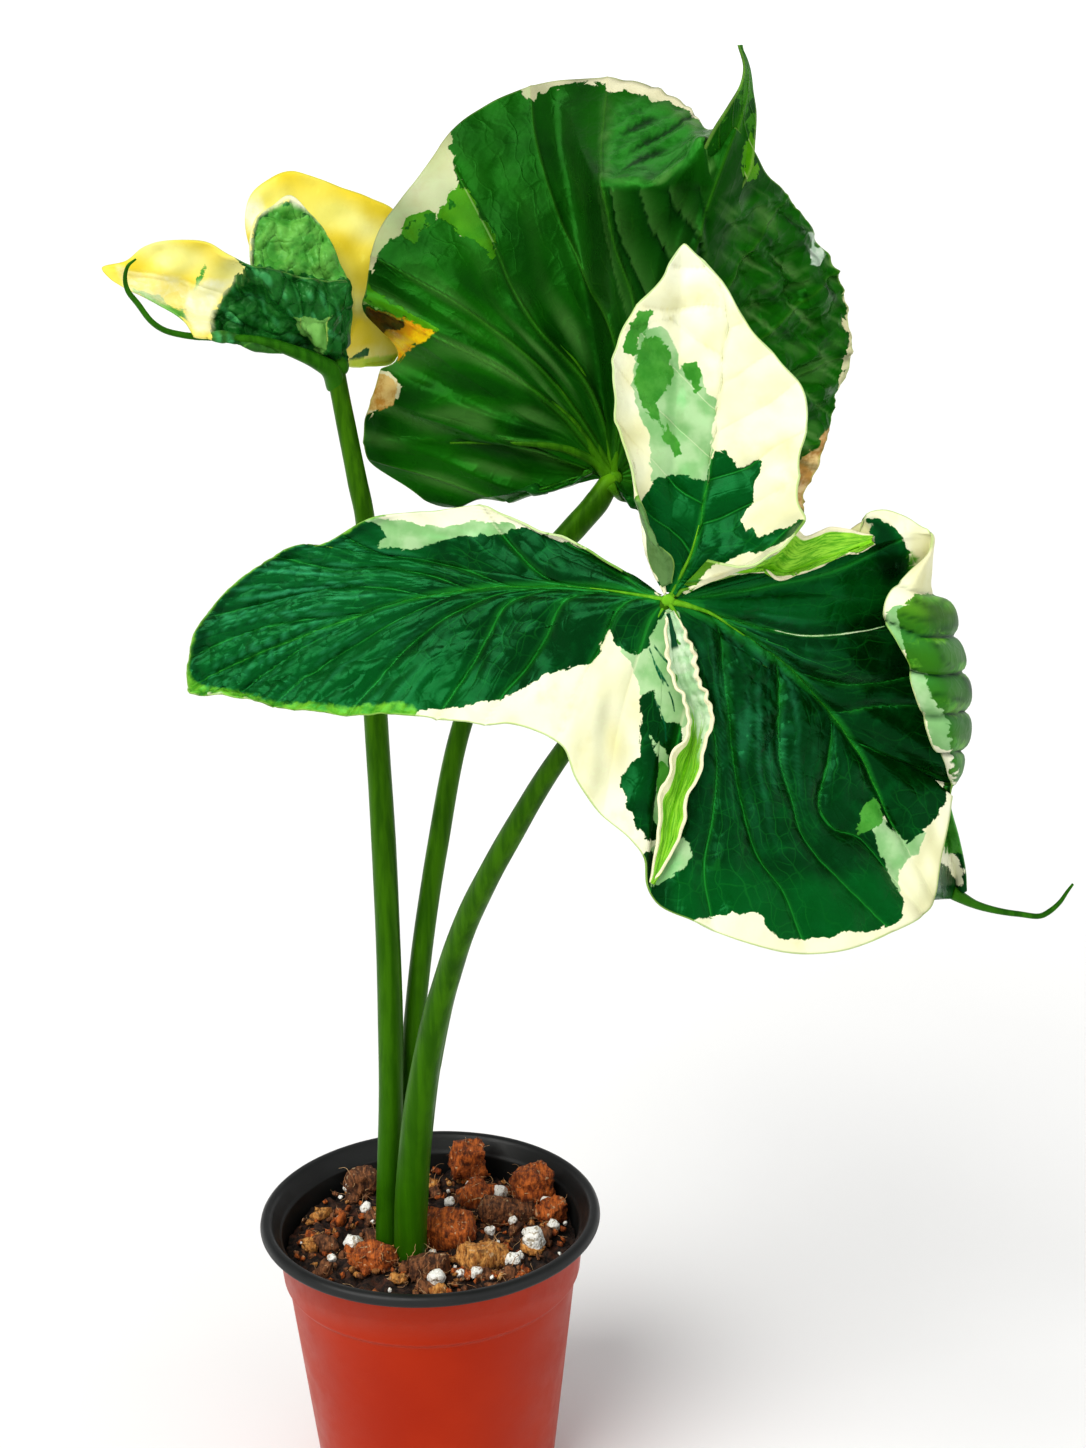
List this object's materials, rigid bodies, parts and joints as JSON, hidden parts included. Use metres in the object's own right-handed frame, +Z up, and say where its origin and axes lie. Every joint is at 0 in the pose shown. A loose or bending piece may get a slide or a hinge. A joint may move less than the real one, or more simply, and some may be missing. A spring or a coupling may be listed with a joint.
{
  "type": "potted variegated xanthosoma",
  "caption": "Variegated xanthosoma, an aroid with big white-margined, curled leaves on upright stalks, growing in a round nursery pot of soil.",
  "frame": {"origin": "centre of the pot's flat underside", "axes": "+Z up along the pot's axis; -Y toward the viewer of the picture, +X to the viewer's right"},
  "size_m": [0.3057, 0.1676, 0.4935],
  "materials": {
    "pot_plastic": "satin moulded plastic, terracotta red outside and black inside and at the rim",
    "soil_mix": "dark potting mix with reddish coco chips and white perlite",
    "stalk_green": "smooth fleshy stalk, satin",
    "leaf_yellow": "glossy folded leaf, yellow and green",
    "leaf_green": "matte ridged underside, dark green with cream rim",
    "leaf_variegated": "glossy blue-green blade with cream margins and pale green patches"
  },
  "bodies": {
    "root": {"pot": "pot_plastic", "soil": "soil_mix", "petiole_left": "stalk_green", "petiole_middle": "stalk_green", "petiole_right": "stalk_green", "leaf_left": "leaf_yellow", "leaf_back": "leaf_green", "leaf_front": "leaf_variegated"}
  },
  "joints": []
}
